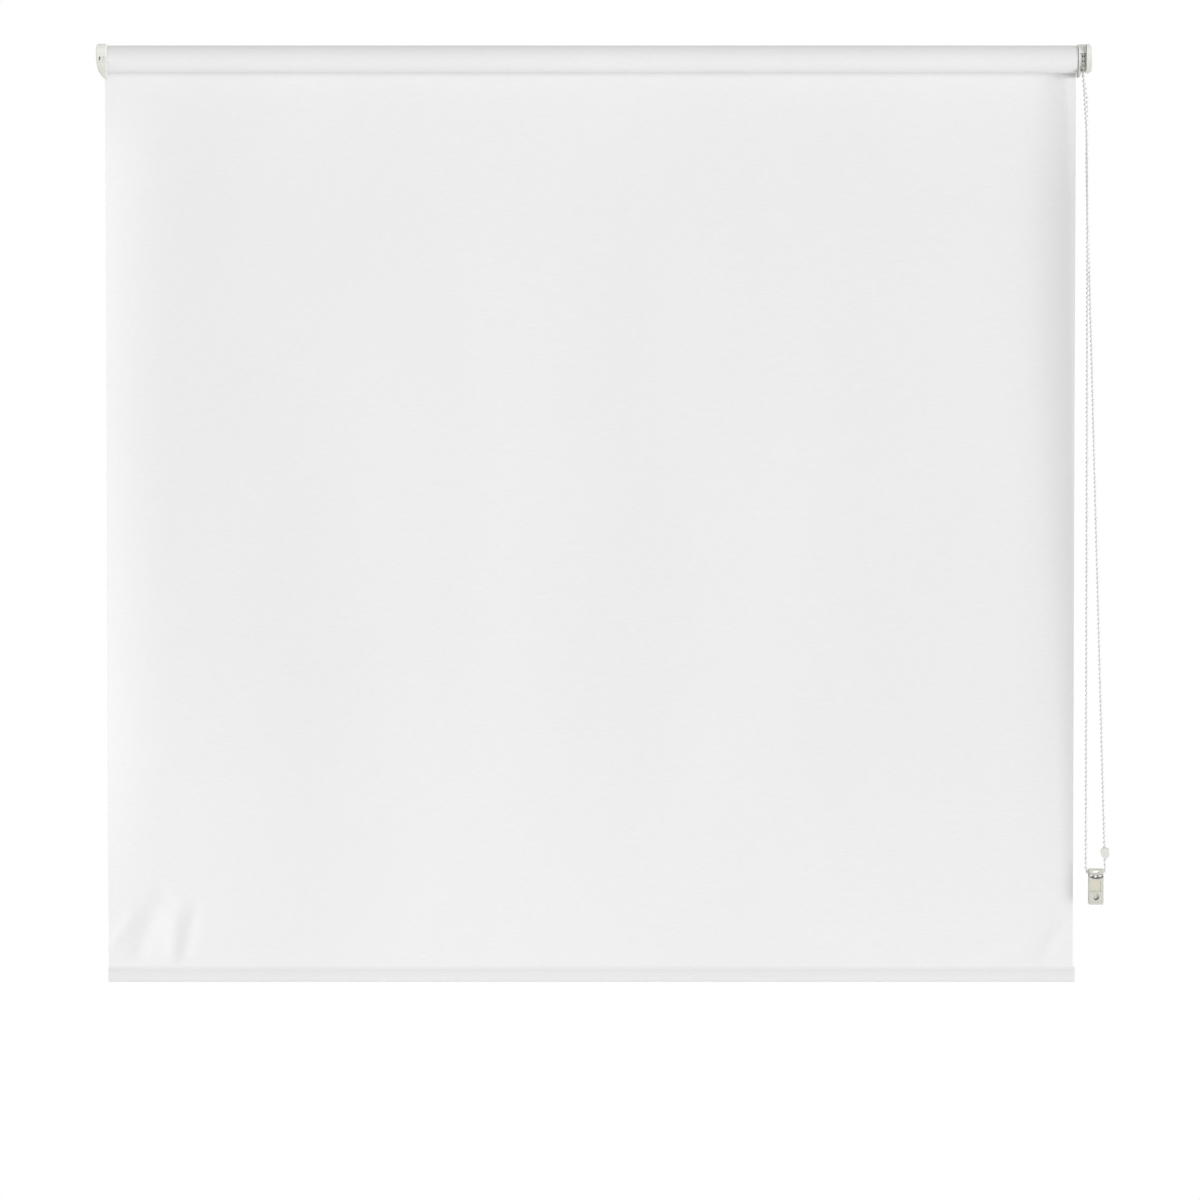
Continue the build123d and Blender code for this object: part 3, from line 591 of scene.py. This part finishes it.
def crease_height(x, z):
    """How far the creases lift the cloth at a point."""
    height = 0.0
    for x0, z0, x1, z1, stand, width in CREASES:
        along = Vector((x1 - x0, z1 - z0))
        away = Vector((x - x0, z - z0))
        t = away.dot(along) / along.length_squared
        if -0.4 < t < 1.4:
            off = abs(away.x * along.y - away.y * along.x) / along.length
            fade = smooth_step((t + 0.4) / 0.6) * smooth_step((1.4 - t) / 0.6)
            height += stand * fade * math.exp(-((off / width) ** 2))
    return height


def cloth_offset(x, z, settings):
    """How far the hanging cloth stands behind its flat plane; less than 0 is in front."""
    drop = -z / -PANEL_LOW.z
    free = smooth_step(drop / 0.25)
    broad = noise.noise(Vector((x * 2.1, z * 0.75, 4.3)))
    tall = noise.noise(Vector((x * 5.5, z * 1.1, 9.1)))
    calm = 1 - 0.55 * smooth_step((drop - 0.85) / 0.15)
    offset = settings.wave * free * (0.8 * broad + 0.35 * tall) * calm
    left = max(0.0, 1 - (x - PANEL_LOW.x) / settings.curl_width)
    right = max(0.0, 1 - (PANEL_HIGH.x - x) / settings.curl_width)
    left_free = smooth_step((drop + 0.01) / 0.14) * (1 - 0.85 * smooth_step((drop - 0.7) / 0.3))
    right_free = smooth_step((drop + 0.01) / 0.18) * (1 - 0.95 * smooth_step((drop - 0.3) / 0.68))
    middle_free = smooth_step((drop + 0.012) / 0.165) * (1 - smooth_step((drop - 0.3) / 0.6))
    offset += settings.hollow * middle_free
    offset -= settings.left_curl * left ** 2.6 * left_free
    offset -= settings.right_curl * right ** 2.6 * right_free
    above_hem = z - PANEL_LOW.z
    fine = noise.noise(Vector((x * 62.0, z * 9.0, 1.7)))
    coarse = noise.noise(Vector((x * 21.0, z * 6.0, 5.2)))
    offset += 0.00045 * (fine + 0.6 * coarse) * math.exp(-above_hem / 0.022)
    offset -= crease_height(x, z)
    loose = smooth_step(above_hem / 0.016)
    return offset * loose - HEM_FORWARD * (1 - loose)


class BLIND_OT_hanging_cloth(bpy.types.Operator):
    """Hangs the cloth from the back of the roll to the hem, with its waves and creases"""

    bl_idname = "blind.hanging_cloth"
    bl_label = "Hanging cloth"

    def execute(self, context):
        settings = context.scene.blind_cloth
        width = PANEL_HIGH.x - PANEL_LOW.x
        drop = PANEL_HIGH.z - PANEL_LOW.z
        columns, rows = HANGING_COLUMNS, HANGING_ROWS
        middle = (PANEL_LOW.y + PANEL_HIGH.y) / 2
        points = []
        for r in range(rows):
            z = PANEL_HIGH.z - drop * r / (rows - 1)
            for c in range(columns):
                x = PANEL_LOW.x + width * c / (columns - 1)
                points.append((x, middle + cloth_offset(x, z, settings), z))
        weave = woven_cloth("hanging_cloth", settings)
        cloth = add_piece("hanging_cloth", points, grid_faces(rows, columns), weave)
        thickened(cloth, settings.thickness)
        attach(cloth, "fixed")
        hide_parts("fabric_panel")
        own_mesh(cloth)
        return {"FINISHED"}


class BLIND_OT_wound_cloth(bpy.types.Operator):
    """Winds the rest of the cloth on the tube, so that it leaves at the back"""

    bl_idname = "blind.wound_cloth"
    bl_label = "Wound cloth"

    def execute(self, context):
        settings = context.scene.blind_cloth
        outer = (PANEL_LOW.y + PANEL_HIGH.y) / 2 - ROLLER_Y
        per_turn = settings.thickness + GAP_BETWEEN_TURNS
        steps = int(WOUND_STEPS * settings.turns)
        columns = WOUND_COLUMNS
        width = PANEL_HIGH.x - PANEL_LOW.x
        points = []
        for r in range(steps + 1):
            turn = settings.turns * r / steps
            angle = 2 * math.pi * turn
            radius = outer - per_turn * turn
            for c in range(columns):
                x = PANEL_LOW.x + width * c / (columns - 1)
                spot = Vector((x * 7.0, math.cos(angle) * 0.6, math.sin(angle) * 0.6))
                uneven = 0.00006 * noise.noise(spot)
                reach = radius + uneven * smooth_step(turn * 4)
                y = ROLLER_Y + reach * math.cos(angle)
                z = ROLLER_Z + reach * math.sin(angle)
                points.append((x, y, z))
        weave = woven_cloth("wound_cloth", settings)
        cloth = add_piece("wound_cloth", points, grid_faces(steps + 1, columns), weave)
        thickened(cloth, settings.thickness)
        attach(cloth, "roller")
        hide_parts("fabric_roll")
        return {"FINISHED"}


class BLIND_OT_hem_sleeve(bpy.types.Operator):
    """Wraps the welded hem sleeve round the bottom bar"""

    bl_idname = "blind.hem_sleeve"
    bl_label = "Hem sleeve"

    def execute(self, context):
        settings = context.scene.blind_cloth
        half = settings.thickness / 2
        width = POCKET_HIGH.x - POCKET_LOW.x
        columns = SLEEVE_COLUMNS
        section = [Vector(p) for p in SLEEVE_SECTION]
        points = []
        for i, (behind, above) in enumerate(section):
            weld = max(0.0, 1 - abs(i - WELD_ROW) / 3)
            for c in range(columns):
                x = POCKET_LOW.x + width * c / (columns - 1)
                slow = noise.noise(Vector((x * 34.0, 2.2, 0.3)))
                quick = noise.noise(Vector((x * 95.0, 6.1, 0.8)))
                waver = slow + 0.6 * quick
                sag = noise.noise(Vector((x * 6.0, above * 60.0, 7.7)))
                y = POCKET_LOW.y + half + behind + 0.00016 * sag
                z = POCKET_LOW.z + half + above + settings.weld_waver * weld * waver
                points.append((x, y, z))
        # Painted shade: the hem's cloth is darker than the hanging cloth.
        weave = woven_cloth("hem_cloth", settings, HEM_PAINTED_SHADE)
        sleeve = add_piece("hem_sleeve", points, grid_faces(len(section), columns), weave)
        thickened(sleeve, settings.thickness)
        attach(sleeve, "hem")
        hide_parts("hem_pocket")
        return {"FINISHED"}


# ---------------------------------------------------------------- chain


def route_line():
    """Close points along the chain's route, read from its own spline."""
    curve = bpy.data.curves.new("chain_route", "CURVE")
    curve.dimensions = "3D"
    spline = curve.splines.new("NURBS")
    spline.points.add(len(CHAIN_ROUTE) - 1)
    for point, place in zip(spline.points, CHAIN_ROUTE):
        point.co = (*place, 1.0)
    spline.order_u = 3
    spline.use_endpoint_u = True
    spline.resolution_u = 32
    route = bpy.data.objects.new("chain_route", curve)
    bpy.context.scene.collection.objects.link(route)
    line = bpy.data.meshes.new_from_object(route)
    places = [v.co.copy() for v in line.vertices]
    bpy.data.meshes.remove(line)
    bpy.data.objects.remove(route)
    bpy.data.curves.remove(curve)
    return places


class Line:
    """Places and directions at a distance along close points."""

    def __init__(self, places):
        self.places = places
        self.reach = [0.0]
        for a, b in zip(places, places[1:]):
            self.reach.append(self.reach[-1] + (b - a).length)
        self.length = self.reach[-1]

    def at(self, distance):
        """The place and the direction at a distance from the start."""
        distance = min(max(distance, 0.0), self.length)
        low, high = 0, len(self.reach) - 1
        while high - low > 1:
            middle = (low + high) // 2
            if self.reach[middle] <= distance:
                low = middle
            else:
                high = middle
        a, b = self.places[low], self.places[high]
        share = (distance - self.reach[low]) / max(1e-9, self.reach[high] - self.reach[low])
        return a.lerp(b, share), (b - a).normalized()


def ring(place, direction, radius, sides, points, across=(1, 0, 0)):
    """Adds a ring of points round a place on the line."""
    side = direction.cross(Vector(across)).normalized()
    other = direction.cross(side).normalized()
    for k in range(sides):
        angle = 2 * math.pi * k / sides
        points.append(place + radius * (math.cos(angle) * side + math.sin(angle) * other))


def add_thread(line, radius, points, faces, sides=6, steps=1100, across=(1, 0, 0)):
    """Adds a thread or a wire as a thin tube along the whole line."""
    first = len(points)
    for s in range(steps + 1):
        place, direction = line.at(line.length * s / steps)
        ring(place, direction, radius, sides, points, across)
    for s in range(steps):
        for k in range(sides):
            a = first + s * sides + k
            b = first + s * sides + (k + 1) % sides
            faces.append((a, b, b + sides, a + sides))


def add_bead(line, distance, radius, collar, points, faces):
    """Adds one bead: a slightly drawn-out ball with a short collar at each end."""
    place, direction = line.at(distance)
    sides = BEAD_SIDES
    outline = [(-1.17, collar), (-1.06, collar * 1.05)]
    for degrees in range(30, 151, 20):
        angle = math.radians(degrees)
        outline.append((-math.cos(angle) * 1.04, math.sin(angle)))
    outline += [(1.06, collar * 1.05), (1.17, collar)]
    first = len(points)
    for along, out in outline:
        ring(place + direction * along * radius, direction, out * radius, sides, points)
    for s in range(len(outline) - 1):
        for k in range(sides):
            a = first + s * sides + k
            b = first + s * sides + (k + 1) % sides
            faces.append((a, b, b + sides, a + sides))


class BLIND_OT_bead_chain(bpy.types.Operator):
    """Threads the endless bead chain over the wheel and round the tensioner"""

    bl_idname = "blind.bead_chain"
    bl_label = "Bead chain"

    def execute(self, context):
        settings = context.scene.blind_chain
        radius = settings.bead_diameter / 2
        line = Line(route_line())
        points, faces = [], []
        add_thread(line, settings.thread_diameter / 2, points, faces)
        wheel_pitch = CHAIN_ON_WHEEL / (BEADS_ON_WHEEL - 0.5)
        spots = [(i + 0.5) * wheel_pitch for i in range(BEADS_ON_WHEEL)]
        rest = line.length - wheel_pitch / 2 - spots[-1]
        pitch = rest / settings.beads
        spots += [spots[-1] + (i + 1) * pitch for i in range(settings.beads)]
        for spot in spots:
            add_bead(line, spot, radius, BEAD_COLLAR, points, faces)
        plastic = chain_beads("chain_beads", settings.colour)
        chain = add_piece("bead_chain", points, faces, plastic)
        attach(chain, "fixed")
        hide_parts("chain_wheel_wrap", "chain_front_strand", "chain_back_strand", "chain_lower_bend")
        return {"FINISHED"}


def add_coil(node, axis, wire, turns, material):
    """A closely fitting coil spring in the place of a node, along its own long axis."""
    low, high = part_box(node)
    middle = (low + high) / 2
    directions = [Vector((1, 0, 0)), Vector((0, 1, 0)), Vector((0, 0, 1))]
    along = directions.pop(axis)
    side, other = directions
    length = high[axis] - low[axis] - wire
    radius = (high.y - low.y - wire) / 2
    sides, steps = 8, int(40 * turns)
    places = []
    for s in range(steps + 1):
        angle = 2 * math.pi * turns * s / steps
        rise = along * (length * (s / steps - 0.5))
        places.append(middle + rise + radius * (math.cos(angle) * side + math.sin(angle) * other))
    points, faces = [], []
    add_thread(Line(places), wire / 2, points, faces, sides, steps, along)
    faces.append(tuple(range(sides - 1, -1, -1)))
    faces.append(tuple(range(len(points) - sides, len(points))))
    return add_piece(node + "_coil", points, faces, material)


class BLIND_OT_sprung_coils(bpy.types.Operator):
    """Winds the springs of the plunger and the tensioner"""

    bl_idname = "blind.sprung_coils"
    bl_label = "Sprung coils"

    def execute(self, context):
        colour = context.scene.blind_finish.spring
        wire = drawn_metal("coil_wire", colour, 0.3, (1.0, 1.0, 1.0), 1500.0, 0.00001)
        for node, body, joint, axis, thick, turns in (
            ("idle_spring", "roller", "idle_pin_press", 0, 0.001, 9),
            ("tensioner_spring", "fixed", "tensioner_draw", 2, 0.0005, 6),
        ):
            spring = add_coil(node, axis, thick, turns, wire)
            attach(spring, body)
            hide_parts(node)
            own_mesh(spring)
        return {"FINISHED"}


# ---------------------------------------------------------------- parts of the model


class BLIND_OT_moulded_parts(bpy.types.Operator):
    """Finishes the covers, guard, plugs, clutch, caps, connector, tensioner and tape"""

    bl_idname = "blind.moulded_parts"
    bl_label = "Moulded parts"

    def execute(self, context):
        colours = context.scene.blind_finish
        white, ivory = colours.white, colours.ivory
        # Painted shade: the guard and the covers darken towards their foot.
        guard_painted_shade = (-0.024, (0.66, 0.66, 0.64), 0.006, (1.0, 1.0, 1.0))
        cover_painted_shade = (-0.016, (0.80, 0.80, 0.79), 0.016, (1.0, 1.0, 1.0))
        # Painted shade in the recesses: light on the white parts, more on the ivory ones, deep in the
        # idle cover's slots.
        finish_parts("white_plastic", moulded("white_moulding", white, 0.42, recess_shade=0.95))
        guard = moulded("guard_moulding", white, 0.42, recess_shade=0.95, fade=guard_painted_shade)
        finish_part("chain_guard", guard)
        finish_parts("ivory_plastic", moulded("ivory_moulding", ivory, 0.46, recess_shade=0.9, fade=cover_painted_shade))
        # Painted shade: the idle cover's slots and recesses are darkened much more deeply than elsewhere.
        latch_cover = moulded("latch_cover_moulding", ivory, 0.46, recess_shade=0.3, fade=cover_painted_shade)
        finish_part("idle_cover", latch_cover)
        finish_parts("cream_plastic", moulded("cream_moulding", colours.cream, 0.38, 0.12))
        finish_parts("beige_plastic", moulded("beige_moulding", colours.beige, 0.45))
        finish_parts("clear_plastic", moulded("frosted_moulding", colours.frosted, 0.4, 0.08))
        finish_parts("adhesive_tape", film_tape("film_tape", colours.tape))
        return {"FINISHED"}


class BLIND_OT_metal_parts(bpy.types.Operator):
    """Finishes the tube, the bar, the brackets, the screws and the clutch springs"""

    bl_idname = "blind.metal_parts"
    bl_label = "Metal parts"

    def execute(self, context):
        colours = context.scene.blind_finish
        drawn_along = (0.03, 1.0, 1.0)
        extruded = drawn_metal("extruded_aluminium", colours.aluminium, 0.38, drawn_along, 900.0, 0.00002)
        plated = drawn_metal("zinc_plate", colours.zinc, 0.36, (1.0, 1.0, 0.6), 260.0, 0.00002)
        wire = drawn_metal("spring_wire", colours.spring, 0.3, (1.0, 1.0, 1.0), 1500.0, 0.00001)
        finish_parts("aluminium", extruded)
        finish_parts("zinc_steel", plated)
        finish_parts("spring_steel", wire)
        return {"FINISHED"}


# ---------------------------------------------------------------- stage


def add_soft_light(name, place, target, size, power):
    """A large square light that faces a target."""
    lamp = bpy.data.lights.new(name, "AREA")
    lamp.shape = "SQUARE"
    lamp.size = size
    lamp.energy = power
    holder = bpy.data.objects.new(name, lamp)
    holder.location = place
    holder.rotation_euler = (Vector(target) - Vector(place)).to_track_quat("-Z", "Y").to_euler()
    bpy.context.scene.collection.objects.link(holder)
    return holder


def add_broad_light(name, place, target, strength):
    """Even light with soft shadows, along the line from a place to a target."""
    lamp = bpy.data.lights.new(name, "SUN")
    lamp.energy = strength
    lamp.angle = math.radians(30)
    holder = bpy.data.objects.new(name, lamp)
    holder.location = place
    holder.rotation_euler = (Vector(target) - Vector(place)).to_track_quat("-Z", "Y").to_euler()
    bpy.context.scene.collection.objects.link(holder)
    return holder


def surround(strength):
    """White light from all round that is full behind the blind and weaker in front of it."""
    world = bpy.data.worlds.new("soft_white_room")
    bpy.context.scene.world = world
    world.use_nodes = True
    tree = world.node_tree
    tree.nodes.clear()
    output = tree.nodes.new("ShaderNodeOutputWorld")
    light = tree.nodes.new("ShaderNodeBackground")
    light.inputs["Strength"].default_value = strength
    place = tree.nodes.new("ShaderNodeTexCoord")
    split = tree.nodes.new("ShaderNodeSeparateXYZ")
    front = tree.nodes.new("ShaderNodeMapRange")
    front.inputs["From Min"].default_value = -0.3
    front.inputs["From Max"].default_value = 0.3
    front.inputs["To Min"].default_value = 0.45
    front.inputs["To Max"].default_value = 1.0
    tree.links.new(place.outputs["Generated"], split.inputs["Vector"])
    tree.links.new(split.outputs["Y"], front.inputs["Value"])
    tree.links.new(front.outputs["Result"], light.inputs["Color"])
    tree.links.new(light.outputs["Background"], output.inputs["Surface"])


def add_floor(gap, colour):
    """A round pale floor under the blind, with a softened rim."""
    low, high = (Vector(v) for v in CAD_BOX)
    top = low.z - gap
    radii = (0.3, 0.6, 0.9, 1.05, 1.1, 1.105, 1.1)
    drops = (0.0, 0.0, 0.0, 0.0, 0.002, 0.008, 0.014)
    sides = 96
    points = [Vector(((low.x + high.x) / 2, ROLLER_Y, top))]
    faces = []
    for radius, fall in zip(radii, drops):
        for k in range(sides):
            angle = 2 * math.pi * k / sides
            points.append(points[0] + Vector((radius * math.cos(angle), radius * math.sin(angle), -fall)))
    for k in range(sides):
        faces.append((0, 1 + k, 1 + (k + 1) % sides))
    for r in range(len(radii) - 1):
        for k in range(sides):
            a = 1 + r * sides + k
            b = 1 + r * sides + (k + 1) % sides
            faces.append((a, a + sides, b + sides, b))
    floor = add_piece("pale_floor", points, faces, plain_floor("pale_floor", colour))
    return floor


class BLIND_OT_stage(bpy.types.Operator):
    """Sets up the camera, the pale floor and the soft light"""

    bl_idname = "blind.stage"
    bl_label = "Stage"

    def execute(self, context):
        settings = context.scene.blind_stage
        low, high = (Vector(v) for v in CAD_BOX)
        camera = bpy.data.cameras.new("front_camera")
        camera.sensor_width = 36.0
        camera.lens = settings.lens
        holder = bpy.data.objects.new("front_camera", camera)
        holder.location = (0.0075, ROLLER_Y - settings.distance, ROLLER_Z - settings.drop)
        holder.rotation_euler = (math.pi / 2 - settings.tilt, 0.0, 0.0)
        context.scene.collection.objects.link(holder)
        context.scene.camera = holder
        context.scene.view_settings.view_transform = "Standard"
        surround(settings.sky)
        middle = (low + high) / 2
        add_broad_light("key_light", (4.4, -4.2, -1.2), middle, settings.key_strength)
        add_soft_light("fill_light", (-0.2, -3.3, -1.1), middle, 2.4, settings.fill_power)
        add_floor(settings.floor_gap, settings.floor_colour)
        return {"FINISHED"}


# ---------------------------------------------------------------- sidebar and start


class BLIND_PT_sidebar(bpy.types.Panel):
    """Lists the settings of the blind and what builds it"""

    bl_label = "Roller Blind"
    bl_idname = "BLIND_PT_sidebar"
    bl_space_type = "VIEW_3D"
    bl_region_type = "UI"
    bl_category = "Roller Blind"

    def draw(self, context):
        for group, operators in BUILD_ORDER:
            box = self.layout.box()
            settings = getattr(context.scene, group)
            for name in settings.bl_rna.properties.keys():
                if name not in {"rna_type", "name"}:
                    box.prop(settings, name)
            for operator in operators:
                box.operator(operator.bl_idname)


BUILD_ORDER = (
    ("blind_stage", (BLIND_OT_stage,)),
    ("blind_chain", (BLIND_OT_bead_chain,)),
    ("blind_cloth", (BLIND_OT_wound_cloth, BLIND_OT_hanging_cloth, BLIND_OT_hem_sleeve)),
    ("blind_finish", (BLIND_OT_moulded_parts, BLIND_OT_metal_parts, BLIND_OT_sprung_coils)),
)
SETTINGS = (
    ("blind_stage", BlindStageSettings),
    ("blind_chain", BlindChainSettings),
    ("blind_cloth", BlindClothSettings),
    ("blind_finish", BlindFinishSettings),
)
OPERATORS = tuple(operator for _, operators in BUILD_ORDER for operator in operators)


def register():
    for name, group in SETTINGS:
        bpy.utils.register_class(group)
        setattr(bpy.types.Scene, name, PointerProperty(type=group))
    for operator in OPERATORS:
        bpy.utils.register_class(operator)
    bpy.utils.register_class(BLIND_PT_sidebar)


def unregister():
    bpy.utils.unregister_class(BLIND_PT_sidebar)
    for operator in reversed(OPERATORS):
        bpy.utils.unregister_class(operator)
    for name, group in reversed(SETTINGS):
        delattr(bpy.types.Scene, name)
        bpy.utils.unregister_class(group)


def main():
    register()
    bpy.ops.blind.stage()
    bpy.ops.blind.bead_chain()
    bpy.ops.blind.wound_cloth()
    bpy.ops.blind.hanging_cloth()
    bpy.ops.blind.hem_sleeve()
    bpy.ops.blind.moulded_parts()
    bpy.ops.blind.metal_parts()
    bpy.ops.blind.sprung_coils()
    bpy.context.view_layer.update()


if __name__ == "__main__":
    main()
